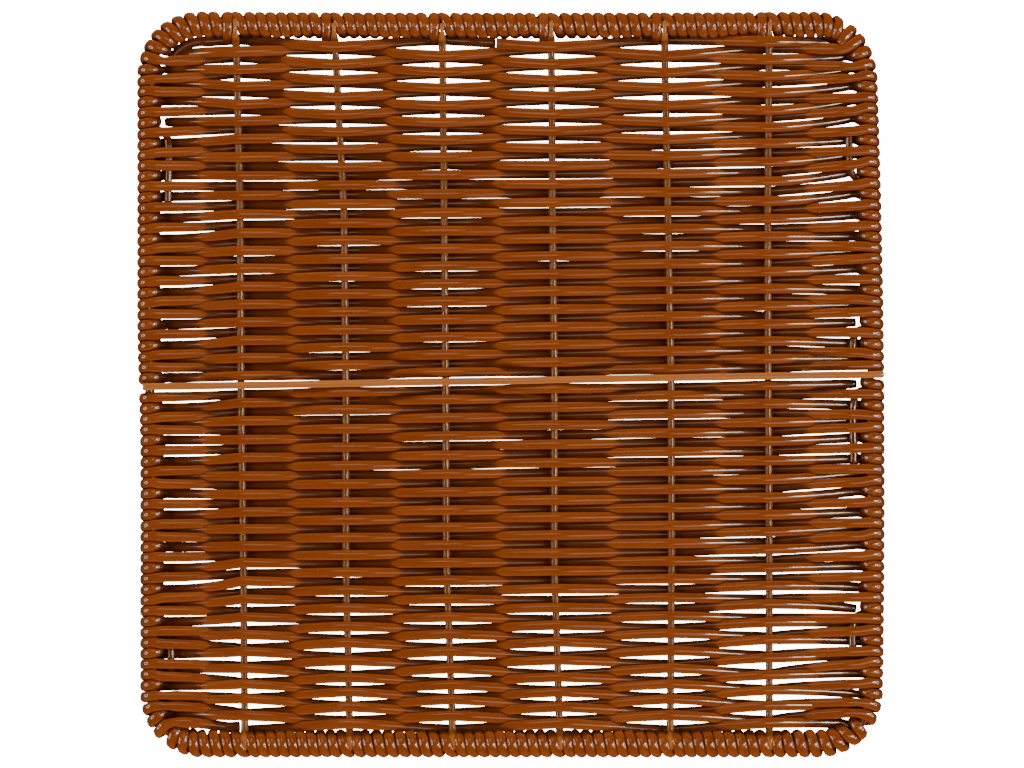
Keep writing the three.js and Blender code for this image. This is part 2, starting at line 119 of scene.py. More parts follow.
# Where the windings and the side turns meet on each corner, in degrees from the side bar's outward
# direction: the last turn of a side bar, and the last turn of the top or bottom winding
CORNER_TURNS = {
    "top_left": {"side": 20.4, "winding": 33.3},
    "top_right": {"side": 51.0, "winding": 62.5},
    "bottom_left": {"side": 39.0, "winding": 54.5},
    "bottom_right": {"side": 36.5, "winding": 55.0},
}

# Turns round the side bar at the end of each row, from the top down
ROW_END_TURNS = {
    "left_above": [2, 1, 2, 2, 2, 1, 2, 2, 2, 2, 1, 2, 2, 1, 2, 2, 1, 2],
    "left_below": [2, 1, 2, 2, 1, 2, 2, 1, 2, 2, 2, 1, 2, 1, 2, 1, 2, 1, 2, 1],
    "right_above": [2, 1, 2, 1, 2, 2, 1, 2, 2, 2, 2, 1, 2, 2, 1, 2, 2, 1],
    "right_below": [2, 1, 2, 2, 1, 2, 2, 1, 2, 2, 2, 2, 1, 2, 1, 2, 2, 1, 2],
}

# Row before each join, the way its tail runs along the bar, and the tail's length
JOINS = {8: (-1, 30.0), 15: (1, 20.0), 31: (-1, 12.0), 37: (-1, 30.0), 61: (-1, 16.0), 64: (-1, 14.0)}
STAKES_PER_WINDING = 2
# Steps between a winding's last stake and the corner, where the pitch doesn't decide them
LAST_STRETCH_STEPS = {"top": None, "bottom": 6}

# Sizes that follow
WRAP_LEVEL = FRAME_WIRE / 2 + WRAP_CLEARANCE + STRAND_THICKNESS / 2
WRAP_REACH = (WRAP_LEVEL + STRAND_THICKNESS / 2) / math.cos(math.pi / 6)
MIDDLE_Z = WRAP_LEVEL + STRAND_THICKNESS / 2
BAR = PANEL_SIZE / 2 - WRAP_REACH
STRAIGHT = BAR - CORNER_RADIUS
TURN_PITCH = CAD_STRAND_WIDTH + TURN_GAP
TURN_LEVEL = MIDDLE_Z - TURN_THICKNESS / 2
TURN_RADIUS = WRAP_REACH - 0.1 - TURN_THICKNESS / 2
STAKE_COUNT = len(STAKE_DRIFT_TOP)
STAKE_PITCH = 2 * (BAR - END_SPAN) / (STAKE_COUNT - 1)
STAKE_Z = FRAME_WIRE / 2 - STAKE_WIRE / 2
ROD_Z = FRAME_WIRE / 2 + CLEARANCE + ROD_WIRE / 2
OVER_STAKE = STAKE_WIRE / 2 + CLEARANCE + ROW_THICKNESS / 2
LAST_ROW = ROWS_ABOVE_ROD + ROWS_BELOW_ROD - 1
SLOTS = LAST_ROW + 1
ROD_SLOT = ROWS_ABOVE_ROD
TOP_ROW_Y = BAR - WRAP_REACH - ROW_GAP - ROW_HEIGHT / 2
SLOT_PITCH = 2 * TOP_ROW_Y / SLOTS
ROD_SLOPE = ROD_RISE / (2 * BAR)
TURN_TO_ROD = ROD_WIRE / 2 + CLEARANCE + CAD_STRAND_WIDTH / 2

UP = Vector((0, 0, 1))
UP_PANEL = Vector((0, 1, 0))
SIDES = {
    "left": (Vector((-1, 0, 0)), Vector((0, 1, 0))),
    "right": (Vector((1, 0, 0)), Vector((0, 1, 0))),
    "top": (Vector((0, 1, 0)), Vector((1, 0, 0))),
    "bottom": (Vector((0, -1, 0)), Vector((-1, 0, 0))),
}

chance = random.Random(77)


def smooth(t):
    t = max(0.0, min(1.0, t))
    return t * t * (3 - 2 * t)


def mix(a, b, t):
    return a + (b - a) * t


def fade(t):
    """The same as smooth, for arrays."""
    t = np.clip(t, 0, 1)
    return t * t * (3 - 2 * t)


# ---------------------------------------------------------------- camera

# The photo is 1024 pixels wide, and the panel in it 741.5
IMAGE_PIXELS = 1024
PANEL_PIXELS = 741.5
LENS = 120.0
SENSOR = 36.0
CAMERA_X, CAMERA_Y = 0.6, 0.4

camera_data = bpy.data.cameras.new("camera")
camera_data.lens = LENS
camera_data.sensor_width = SENSOR
camera = bpy.data.objects.new("camera", camera_data)
view_width = IMAGE_PIXELS * (PANEL_SIZE / PANEL_PIXELS)
camera_height = view_width * LENS / SENSOR + MIDDLE_Z
camera.location = (CAMERA_X * MM, CAMERA_Y * MM, camera_height * MM)
bpy.context.scene.collection.objects.link(camera)
bpy.context.scene.camera = camera


# ---------------------------------------------------------------- materials

def strand_group():
    """Colour, roughness and normal of extruded, streaked plastic, from a surface's own coordinates."""
    group = bpy.data.node_groups.new("extruded_plastic", "ShaderNodeTree")
    face = group.interface
    face.new_socket("Base", in_out="INPUT", socket_type="NodeSocketColor")
    face.new_socket("Dark", in_out="INPUT", socket_type="NodeSocketColor")
    face.new_socket("Pale", in_out="INPUT", socket_type="NodeSocketColor")
    face.new_socket("Lines", in_out="INPUT", socket_type="NodeSocketFloat")
    face.new_socket("Color", in_out="OUTPUT", socket_type="NodeSocketColor")
    face.new_socket("Roughness", in_out="OUTPUT", socket_type="NodeSocketFloat")
    face.new_socket("Normal", in_out="OUTPUT", socket_type="NodeSocketVector")
    nodes, links = group.nodes, group.links
    given = nodes.new("NodeGroupInput")
    out = nodes.new("NodeGroupOutput")
    place = nodes.new("ShaderNodeAttribute")
    place.attribute_name = "strand"

    def scaled(x, y, z):
        node = nodes.new("ShaderNodeMapping")
        node.inputs["Scale"].default_value = (x, y, z)
        links.new(place.outputs["Vector"], node.inputs["Vector"])
        return node.outputs["Vector"]

    def noise(vector, scale, detail, rough=0.5):
        node = nodes.new("ShaderNodeTexNoise")
        node.inputs["Scale"].default_value = scale
        node.inputs["Detail"].default_value = detail
        node.inputs["Roughness"].default_value = rough
        links.new(vector, node.inputs["Vector"])
        return node.outputs["Fac"]

    def ramp(value, low, high):
        node = nodes.new("ShaderNodeMapRange")
        node.inputs["From Min"].default_value = low
        node.inputs["From Max"].default_value = high
        links.new(value, node.inputs["Value"])
        return node.outputs["Result"]

    def blend(factor, one, other, amount=None):
        node = nodes.new("ShaderNodeMix")
        node.data_type = "RGBA"
        if amount is not None:
            scale = nodes.new("ShaderNodeMath")
            scale.operation = "MULTIPLY"
            scale.inputs[1].default_value = amount
            links.new(factor, scale.inputs[0])
            factor = scale.outputs[0]
        links.new(factor, node.inputs["Factor"])
        links.new(one, node.inputs["A"])
        links.new(other, node.inputs["B"])
        return node.outputs["Result"]

    lot = noise(scaled(0.02, 0.02, 0.012), 1.0, 2.0)
    patch = noise(scaled(0.25, 0.25, 0.07), 1.0, 3.0)
    lines = noise(scaled(2.2, 2.2, 0.03), 1.0, 4.0, 0.65)
    grain = noise(scaled(2.6, 2.6, 1.6), 1.0, 4.0, 0.6)
    color = blend(ramp(lot, 0.35, 0.65), given.outputs["Base"], given.outputs["Dark"], 0.45)
    color = blend(ramp(patch, 0.45, 0.75), color, given.outputs["Dark"], 0.4)
    color = blend(ramp(lines, 0.52, 0.78), color, given.outputs["Pale"], 0.35)
    # Small pale scuffs, a few to the centimetre
    specks = nodes.new("ShaderNodeTexVoronoi")
    specks.inputs["Scale"].default_value = 0.65
    links.new(scaled(1.0, 1.0, 0.8), specks.inputs["Vector"])
    speck = nodes.new("ShaderNodeMapRange")
    speck.inputs["From Min"].default_value = 0.16
    speck.inputs["From Max"].default_value = 0.05
    links.new(specks.outputs["Distance"], speck.inputs["Value"])
    rare = nodes.new("ShaderNodeMath")
    rare.operation = "MULTIPLY"
    links.new(speck.outputs["Result"], rare.inputs[0])
    links.new(ramp(patch, 0.45, 0.58), rare.inputs[1])
    color = blend(rare.outputs[0], color, given.outputs["Pale"], 0.75)
    links.new(color, out.inputs["Color"])

    rough = nodes.new("ShaderNodeMapRange")
    rough.inputs["From Min"].default_value = 0.3
    rough.inputs["From Max"].default_value = 0.7
    rough.inputs["To Min"].default_value = 0.38
    rough.inputs["To Max"].default_value = 0.55
    links.new(patch, rough.inputs["Value"])
    links.new(rough.outputs["Result"], out.inputs["Roughness"])

    height = nodes.new("ShaderNodeMath")
    height.operation = "MULTIPLY_ADD"
    links.new(lines, height.inputs[0])
    links.new(given.outputs["Lines"], height.inputs[1])
    links.new(grain, height.inputs[2])
    bump = nodes.new("ShaderNodeBump")
    bump.inputs["Strength"].default_value = 0.1
    bump.inputs["Distance"].default_value = 0.00012
    links.new(height.outputs[0], bump.inputs["Height"])
    links.new(bump.outputs["Normal"], out.inputs["Normal"])
    return group


EXTRUDED = strand_group()


def plastic(name, base, dark, pale, lines, specular, coat, coat_roughness):
    material = bpy.data.materials.new(name)
    material.use_nodes = True
    nodes, links = material.node_tree.nodes, material.node_tree.links
    shader = nodes["Principled BSDF"]
    group = nodes.new("ShaderNodeGroup")
    group.node_tree = EXTRUDED
    group.inputs["Base"].default_value = (*base, 1)
    group.inputs["Dark"].default_value = (*dark, 1)
    group.inputs["Pale"].default_value = (*pale, 1)
    group.inputs["Lines"].default_value = lines
    links.new(group.outputs["Color"], shader.inputs["Base Color"])
    links.new(group.outputs["Roughness"], shader.inputs["Roughness"])
    links.new(group.outputs["Normal"], shader.inputs["Normal"])
    links.new(group.outputs["Normal"], shader.inputs["Coat Normal"])
    shader.inputs["Specular IOR Level"].default_value = specular
    shader.inputs["Coat Weight"].default_value = coat
    shader.inputs["Coat Roughness"].default_value = coat_roughness
    shader.inputs["Coat IOR"].default_value = 1.6
    return material


rattan = plastic("rattan_strand", base=(0.2, 0.047, 0.007), dark=(0.125, 0.025, 0.003),
                 pale=(0.36, 0.14, 0.055), lines=0.6, specular=0.08, coat=1.0, coat_roughness=0.08)
wire = plastic("painted_wire", base=(0.34, 0.11, 0.02), dark=(0.25, 0.072, 0.011),
               pale=(0.42, 0.18, 0.055), lines=0.5, specular=0.08, coat=0.45, coat_roughness=0.06)
# The rod is the same painted wire as the stakes. Its lighter, yellower base colour is painted light: it makes
# the rod, lying in front of the weave, look more lit than the stakes' recessed bits.
lit_rod_wire = plastic("lit_rod_wire", base=(0.36, 0.125, 0.032), dark=(0.27, 0.085, 0.02),
                   pale=(0.45, 0.2, 0.075), lines=0.5, specular=0.08, coat=1.0, coat_roughness=0.06)


# ---------------------------------------------------------------- sweeps

def station(centre, wide, width, thick):
    """A place that a strand or wire passes: its centre, the way its width lies, and its size there."""
    return (Vector(centre), Vector(wide), width, thick)


def spline(stations, step):
    """Smooth centres, width directions and sizes through the stations."""
    centre = np.array([tuple(s[0]) for s in stations])
    wide = np.array([tuple(s[1]) for s in stations])
    size = np.array([(s[2], s[3]) for s in stations])
    chord = np.linalg.norm(np.diff(centre, axis=0), axis=1)
    knots = np.concatenate([[0], np.cumsum(np.sqrt(chord))])
    slope = np.diff(centre, axis=0) / np.diff(knots)[:, None]
    tangent = np.empty_like(centre)
    tangent[0], tangent[-1] = slope[0], slope[-1]
    before, after = np.diff(knots)[:-1, None], np.diff(knots)[1:, None]
    tangent[1:-1] = (slope[:-1] * after + slope[1:] * before) / (before + after)
    centres, wides, sizes = [], [], []
    for i, length in enumerate(chord):
        count = max(1, math.ceil(length / step))
        t = np.arange(count)[:, None] / count
        span = knots[i + 1] - knots[i]
        centres.append((2 * t**3 - 3 * t**2 + 1) * centre[i] + (t**3 - 2 * t**2 + t) * span * tangent[i]
                       + (3 * t**2 - 2 * t**3) * centre[i + 1] + (t**3 - t**2) * span * tangent[i + 1])
        wides.append((1 - t) * wide[i] + t * wide[i + 1])
        sizes.append((1 - t) * size[i] + t * size[i + 1])
    centres.append(centre[-1:])
    wides.append(wide[-1:])
    sizes.append(size[-1:])
    return np.concatenate(centres), np.concatenate(wides), np.concatenate(sizes)


def out_of_square(points):
    """The real panel's bars stand a little outside, or inside, of a true square."""
    x, y = points[..., 0], points[..., 1]
    left = 0.1 + 1.25 * fade((y + 30) / 60)
    right = 1.7 - 2.75 * ((y + 40) / 160) ** 2
    top = 0.9 + 0.4 * (x / 120) ** 2
    points[..., 0] += right * fade((x - 105) / 40) - left * fade((-x - 105) / 40)
    points[..., 1] += top * fade((y - 128) / 15) - 0.9 * fade((-y - 128) / 15)


# The ends of a sweep: how far each reaches past the last station, in radii, and its rings, as their
# distance from the tip and their share of the full size
CAPS = {
    "cut": (0.15, [(0.0, 0.86), (0.12, 0.97)]),
    "round": (1.2, [(0.0, 0.3), (0.12, 0.6), (0.4, 0.83), (0.8, 0.95)]),
}


def sweep(name, stations, material, step=1.5, sides=14, lot=0.0, ends=("cut", "cut")):
    """A closed oval tube through the stations, as one piece. The lot sets where its streaks begin."""
    centre, wide, size = spline(stations, step)
    forward = np.gradient(centre, axis=0)
    forward /= np.linalg.norm(forward, axis=1)[:, None]
    path = [centre, wide, size, forward]
    radius = size[0].min() / 2
    for end, kind in zip((0, -1), ends):
        reach, rings = CAPS[kind]
        way = -forward[0] if end == 0 else forward[-1]
        cap = [[path[0][end] + way * (reach * radius - offset * radius) for offset, _ in rings],
               [path[1][end]] * len(rings),
               [path[2][end] * shrink for _, shrink in rings],
               [path[3][end]] * len(rings)]
        if end == 0:
            path = [np.concatenate([new, old]) for new, old in zip(cap, path)]
        else:
            path = [np.concatenate([old, new[::-1]]) for new, old in zip(cap, path)]
    centre, wide, size, forward = path
    wide = wide - forward * np.sum(wide * forward, axis=1)[:, None]
    wide /= np.linalg.norm(wide, axis=1)[:, None]
    thick = np.cross(forward, wide)
    along = np.concatenate([[0], np.cumsum(np.linalg.norm(np.diff(centre, axis=0), axis=1))])
    angle = np.arange(sides) * 2 * math.pi / sides
    across = size[:, :1] / 2 * np.cos(angle)
    deep = size[:, 1:] / 2 * np.sin(angle)
    points = centre[:, None, :] + across[:, :, None] * wide[:, None, :] + deep[:, :, None] * thick[:, None, :]
    points[:, :, 2] += MIDDLE_Z
    out_of_square(points)
    shape = (len(centre), sides)
    own = np.stack([np.broadcast_to(value, shape) for value in (across, deep, along[:, None] + lot)], axis=-1)
    first = np.arange(len(centre) - 1)[:, None] * sides
    side = np.arange(sides)[None, :]
    beside = (side + 1) % sides
    quads = np.stack([first + side, first + beside, first + sides + beside, first + sides + side], axis=-1)
    faces = quads.reshape(-1, 4).tolist()
    last = (len(centre) - 1) * sides
    faces.append(list(range(sides))[::-1])
    faces.append(list(range(last, last + sides)))
    mesh = bpy.data.meshes.new(name)
    mesh.from_pydata((points.reshape(-1, 3) * MM).tolist(), [], faces)
    mesh.polygons.foreach_set("use_smooth", [True] * len(faces))
    attribute = mesh.attributes.new("strand", "FLOAT_VECTOR", "POINT")
    attribute.data.foreach_set("vector", own.reshape(-1))
    mesh.materials.append(material)
    mesh.update()
    piece = bpy.data.objects.new(name, mesh)
    bpy.context.scene.collection.objects.link(piece)
    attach(piece, "root")
    return piece


def strand_piece(node, stations, lot, part=""):
    """One length of strand, as a piece that stands for its CAD node or for a part of it."""
    piece = sweep(f"{node}{part}_strand", stations, rattan, lot=lot)
    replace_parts(piece, node)


# ---------------------------------------------------------------- the bars

def bar_at(side, s):
    """The frame wire's centre at s along a bar, and the ways out of the panel and along the wire there."""
    out, along = SIDES[side]
    beyond = abs(s) - STRAIGHT
    if beyond <= 0:
        return out * BAR + along * s, out, along
    end = math.copysign(1, s)
    turn = beyond / CORNER_RADIUS
    new_out = out * math.cos(turn) + along * (end * math.sin(turn))
    new_along = along * math.cos(turn) - out * (end * math.sin(turn))
    centre = out * STRAIGHT + along * (end * STRAIGHT)
    return centre + new_out * CORNER_RADIUS, new_out, new_along


def corner_place(degrees):
    return STRAIGHT + CORNER_RADIUS * math.radians(degrees)


def stake_x(stake, y):
    """Where a stake stands at that height, with its lean and its bow."""
    up = (y + BAR) / (2 * BAR)
    drift = mix(STAKE_DRIFT_BOTTOM[stake], STAKE_DRIFT_TOP[stake], up)
    drift += float(np.interp(up, (0.0, 0.25, 0.5, 0.75, 1.0), (0.0, *STAKE_BOW[stake], 0.0)))
    return STAKE_OFFSET + STAKE_PITCH * (stake - (STAKE_COUNT - 1) / 2) + drift


def slot_of(row):
    """A row's place from the top, the rod's own place being left out."""
    return row if row < ROWS_ABOVE_ROD else row + 1


def crowding(slot):
    """How far the rows are pushed up towards the top bar, or down towards the bottom one."""
    up = 1.85 * smooth((slot + 1) / 6) * smooth((21 - slot) / 9)
    down = (2.1 * smooth((slot - 38) / 14) + 1.45 * smooth((slot - 57) / 9)) * smooth((78.5 - slot) / 9)
    return up - down


def slot_y(slot, x):
    share = slot / ROD_SLOT if slot < ROD_SLOT else (SLOTS - slot) / (SLOTS - ROD_SLOT)
    return TOP_ROW_Y - slot * SLOT_PITCH + share * ROD_SLOPE * x


def turn_size(pitch, s, inset):
    """A turn's width: nearly the pitch, and less on the inside of a corner."""
    at_corner = abs(s) > STRAIGHT - TURN_PITCH / 2
    squeeze = min(1.0, (CORNER_RADIUS + inset) / CORNER_RADIUS) if at_corner else 1.0
    return min(TURN_WIDTH, pitch * squeeze * 0.985)


def turn_station(side, s, degrees, pitch, loose=0.0):
    """One station of a turn. Degrees: 90 is the bar's front, 0 its outside, -90 its back, 180 its inside."""
    place, out, along = bar_at(side, s)
    angle = math.radians(degrees)
    inward = max(0.0, -math.cos(angle))
    radius = mix(TURN_RADIUS, TURN_RADIUS * INNER_REACH[side] + loose, inward)
    centre = place + out * (math.cos(angle) * radius) + UP * (math.sin(angle) * TURN_LEVEL)
    inset = math.cos(angle) * TURN_RADIUS
    return station(centre, along, turn_size(pitch, s, inset), TURN_THICKNESS)


def shift(degrees, reach):
    """How far along the bar a turn has moved at that angle, as a share of the pitch."""
    if degrees >= 0:
        return reach * (90 - degrees) / 90
    return reach - (0.5 - reach) * degrees / 90


def between_turns(side, here, onward, pitch, stop=None, loose=0.0, reach=WINDING_SHIFT,
                  next_reach=None):
    """From just past one front pass round the back to just before the next."""
    stations = []
    step = here - onward
    for degrees in (45, 0, -45, -90, -135, -180, -225):
        if stop is not None and degrees < stop:
            break
        if degrees >= -90:
            s = here - shift(degrees, reach) * pitch + (0.5 * (pitch - step) if degrees == -90 else 0)
        else:
            s = onward + shift(-180 - degrees, reach if next_reach is None else next_reach) * pitch
        s_loose = loose if degrees < -135 else 0.0
        stations.append(turn_station(side, s, degrees, pitch, s_loose))
    return stations


def leaving_turn(side, s, pitch):
    """From just past a front pass round to the back, where the strand leaves the bar."""
    return [turn_station(side, s - share * pitch, degrees, pitch)
            for degrees, share in ((45, 0.08), (0, 0.16), (-45, 0.24), (-90, 0.28))]


def spread(start, end, steps=None):
    """Evenly spaced turns from start to end, each with the pitch."""
    steps = steps or max(1, round(abs(start - end) / TURN_PITCH))
    pitch = abs(start - end) / steps
    return [(start + (end - start) * step / steps, pitch) for step in range(steps + 1)]


def side_turns():
    """The turn that begins the weave, and for each row the turns at its end."""
    total = {part: sum(counts) for part, counts in ROW_END_TURNS.items()}
    rod_left = slot_y(ROD_SLOT, -BAR)
    rod_right = slot_y(ROD_SLOT, BAR)
    left_above = spread(corner_place(CORNER_TURNS["top_left"]["side"]), rod_left + TURN_TO_ROD,
                        total["left_above"] - 1)
    left_below = spread(rod_left - TURN_TO_ROD - 0.5, -corner_place(CORNER_TURNS["bottom_left"]["side"]),
                        total["left_below"] - 1)
    # On the left the first turn below the rod stands half a millimetre off it. On the right one turn more
    # begins the weave, and a row's two turns stand either side of the rod
    right_above = spread(corner_place(CORNER_TURNS["top_right"]["side"]), rod_right + TURN_TO_ROD,
                         total["right_above"] + 1)
    right_below = spread(rod_right - TURN_TO_ROD, -corner_place(CORNER_TURNS["bottom_right"]["side"]),
                         total["right_below"])
    # The last turn on the right stands a little apart, and is the wider for it
    s, pitch = right_below[-1]
    right_below[-1] = (s - 1.6, pitch + 0.4)
    turns = {ROWS_ABOVE_ROD - 1: [right_above[-1], right_below[0]]}
    for part, places, row in (("left_above", left_above, 2),
                              ("left_below", left_below, ROWS_ABOVE_ROD),
                              ("right_above", right_above[1:-1], 1),
                              ("right_below", right_below[1:], ROWS_ABOVE_ROD + 1)):
        for count in ROW_END_TURNS[part]:
            turns[row] = places[:count]
            places = places[count:]
            row += 2
    return right_above[0], turns


# ---------------------------------------------------------------- rows

def is_even(row):
    """Even rows run to the left, and odd ones to the right."""
    return row % 2 == 0


def end_side(row):
    return "left" if is_even(row) else "right"


def sway(slot):
    """How far a row sits below its line in front of a stake, and above it behind one."""
    return 1.6 * smooth((22 - slot) / 19) - 0.12 - 1.35 * smooth((slot - 55) / 18)


def outer_rise(slot, stake):
    """How much higher the rows near the top and the bottom pass in front of the outermost stakes."""
    rises = {0: 0.9, STAKE_COUNT - 1: 1.3}
    if stake not in rises:
        return 0.0
    rise = rises[stake]
    high = rise * smooth((19 - slot) / 9) + 0.8 * smooth((4 - slot) / 3)
    return high + 0.5 * rise * smooth((slot - 50) / 8) * smooth((78 - slot) / 5)


def bar_span_y(row, leaves, start, end, t):
    """The height of a row between a side bar, which it leaves or comes to, and the stake beside it."""
    # The rows keep the left bar's spacing for longer than the right one's, and the right one's for
    # longer near the bottom
    if leaves and not is_even(row):
        return mix(start, end, 1 - (1 - t) ** 3 if row == 1 else t**1.8)
    if leaves:
        power = 1.7
    elif is_even(row):
        power = 1.2 if row < 12 else 1.6
    else:
        power = mix(0.8, 1.7, row / LAST_ROW)
    return mix(end, start, (1 - t) ** power)


def row_stations(row, back, front):
    """From the shoulder at the back of one side bar to the shoulder at the front of the other."""
    slot = slot_of(row)
    crests = []
    for stake in range(STAKE_COUNT):
        x = stake_x(stake, slot_y(slot, 0) + crowding(slot))
        in_front = is_even(row) == (stake % 2 == 1)
        lift = chance.uniform(-0.16, 0.16) + (outer_rise(slot, stake) if in_front else 0.0)
        crests.append((x, 1.0 if in_front else -1.0, lift, chance.uniform(-0.12, 0.12)))
    if is_even(row):
        crests.reverse()
    drop = sway(slot) * chance.uniform(0.85, 1.15)
    broad = chance.uniform(0.985, 1.02)
    knots = [back]
    for x, level, lift, depth in crests:
        y = slot_y(slot, x) + crowding(slot) - drop * level + lift
        knots.append(Vector((x, y, STAKE_Z + level * OVER_STAKE + depth)))
    knots.append(front)
    stations = []
    last = len(knots) - 2
    for index, (start, end) in enumerate(zip(knots, knots[1:])):
        # The first station is the back shoulder's own
        for part in range(0 if index else 1, SPAN_STEPS):
            t = part / SPAN_STEPS
            turn = 0.5 - 0.5 * math.cos(math.pi * t)
            centre = start.lerp(end, t)
            if index in (0, last):
                centre.y = bar_span_y(row, index == 0, start.y, end.y, t)
                centre.z = mix(start.z, end.z, mix(t, turn, 0.65))
            else:
                centre.y = mix(start.y, end.y, mix(t, turn, 0.45))
                centre.z = mix(start.z, end.z, turn)
            crest = math.cos(math.pi * t) ** 2
            width = mix(MIDDLE_WIDTH, CREST_WIDTH, crest) * broad
            thickness = mix(MIDDLE_THICKNESS, CREST_THICKNESS, crest)
            stations.append(station(centre, UP_PANEL, width, thickness))
    return stations


def shoulder_station(side, s, level, pitch):
    """Just inside a bar, at the front (level 1) or at the back (level -1)."""
    place, out, along = bar_at(side, s)
    # Round a corner the strand comes in between the bar's own way and the rows'
    inward = (out + SIDES[side][0]).normalized()
    centre = place - inward * SHOULDER_INSET + UP * (level * TURN_LEVEL)
    width = min(CREST_WIDTH, turn_size(pitch, s, -SHOULDER_INSET))
    return station(centre, along, width, TURN_THICKNESS)


def end_turns(row, share):
    """From a row's front shoulder round its side bar to the back, with one or two turns."""
    side = end_side(row)
    stations = [front_shoulder(row, share)]
    for turn, (s, pitch) in enumerate(share):
        stations.append(turn_station(side, s, 90, pitch))
        if turn == len(share) - 1:
            stations += leaving_turn(side, s, pitch)
        else:
            stations += between_turns(side, s, share[turn + 1][0], pitch, reach=SIDE_SHIFT)
    return stations


def front_shoulder(row, share):
    """Where a row comes to its side bar, already turned a little towards it."""
    side = end_side(row)
    s, pitch = share[0]
    here = bar_at(side, s)[0]
    slot = slot_of(row)
    rise = (slot_y(slot, here.x) + crowding(slot) - here.y) * LEAN
    return shoulder_station(side, s + max(-MOST_LEAN, min(MOST_LEAN, rise / pitch)) * pitch, 1, pitch)


def leave_shift(row, turns):
    """How far below its last turn a row leaves the bar, in pitches: further where it is wound once."""
    return mix(-0.2, 0.25, row / LAST_ROW) + (0.35 if turns == 1 else 0.0)


def back_shoulder(row, share):
    """Where the strand leaves a side bar to come back as the next row."""
    s, pitch = share[-1]
    return shoulder_station(end_side(row), s - leave_shift(row, len(share)) * pitch, -1, pitch)


def tail_stations(row, share, way, length):
    """A cut end, tucked away along the inside of the side bar at mid-depth."""
    side = end_side(row)
    s, pitch = share[-1]
    start = s - 0.6 * pitch
    stations = [turn_station(side, start, -120, pitch)]
    thick = UP * (-1 if is_even(row) else 1)
    for inset, step, depth, inward in ((6.0, 1.4, -1.0, 0.7), (7.2, 5.0, 0.0, 0.0), (7.2, length, 0.0, 0.0)):
        place, out, along = bar_at(side, start + way * step)
        forward = out * -inward + along * (way * math.sqrt(1 - inward**2))
        wide = forward.cross(thick)
        if wide.dot(out) > 0:
            wide = -wide
        stations.append(station(place - out * inset + UP * depth, wide, TAIL_WIDTH, TAIL_THICKNESS))
    return stations


def row_start(row, y, inset=START_INSET):
    """The strand's cut start, at the back near the side bar that its first row leaves."""
    side = 1 if is_even(row) else -1
    place = Vector((side * (BAR - inset), y, -TURN_LEVEL + 0.2))
    return station(place, UP_PANEL, START_WIDTH, START_THICKNESS)


def first_row(first_turn):
    """The first row, in two lengths. It starts with a turn on the right bar, high on its corner."""
    s, pitch = first_turn
    back = shoulder_station("right", s, -1, pitch)
    # Its other end is tucked under the winding, round the inside of the corner
    tail = [Vector((-STRAIGHT + dx, STRAIGHT + dy, -1.6))
            for dx, dy in ((0.0, 13.5), (-5.0, 12.5), (-8.8, 10.3), (-11.6, 7.3))]
    stations = [shoulder_station("right", s - 0.5 * pitch, 1, pitch), turn_station("right", s, 90, pitch)]
    stations += leaving_turn("right", s, pitch)
    stations.append(back)
    stations += row_stations(0, back[0], tail[0])
    stations += [station(place, UP_PANEL, 3.5, 2.5) for place in tail]
    # The right-hand length ends over the beginning of the left-hand one
    right = [place for place in stations if place[0].x > FIRST_ROW_JOINT + 2]
    left = [place for place in stations if place[0].x < FIRST_ROW_JOINT - 2]
    before, after = right[-1][0], left[0][0]
    right.append(station((FIRST_ROW_JOINT, before.y + 0.3, before.z + 0.3), UP_PANEL, 4.2, 3.0))
    left.insert(0, station((FIRST_ROW_JOINT - 0.8, after.y - 0.1, after.z + 0.4), UP_PANEL, 3.9, 3.0))
    strand_piece("weaver_1", right, 100.0 + len(right), "_right")
    strand_piece("weaver_1", left, 100.0 + len(left), "_left")


def weavers():
    first_turn, turns = side_turns()
    first_row(first_turn)
    number = 1
    back = row_start(1, TOP_ROW_Y - 4.4, START_INSET + 1.5)
    stations = [back]
    for row in range(1, LAST_ROW + 1):
        share = turns[row]
        across = row_stations(row, back[0], front_shoulder(row, share)[0])
        if row == LAST_ROW:
            # The last row is cut behind the first stake, and a shorter length goes on from there
            stations += [place for place in across if place[0].x > LAST_ROW_JOINT + 1.5]
            number += 1
            strand_piece(f"weaver_{number}", stations, 1000.0 * number)
            across = [place for place in across if place[0].x < LAST_ROW_JOINT - 2]
            beside = across[0][0]
            stations = [station((LAST_ROW_JOINT, beside.y + 0.2, beside.z + 0.2), UP_PANEL, 4.0, 2.9)]
        stations += across + end_turns(row, share)
        if row in JOINS:
            stations += tail_stations(row, share, *JOINS[row])
            number += 1
            strand_piece(f"weaver_{number}", stations, 1000.0 * number)
            back = row_start(row + 1, back_shoulder(row, share)[0].y)
            stations = [back]
        elif row < LAST_ROW:
            back = back_shoulder(row, share)
            stations.append(back)
    # The strand ends on the inside of the left bar
    s, pitch = turns[LAST_ROW][-1]
    stations += between_turns("left", s, s - pitch, pitch)[4:6]
    strand_piece(f"weaver_{number}", stations, 1000.0 * number, "_end")


# ---------------------------------------------------------------- windings

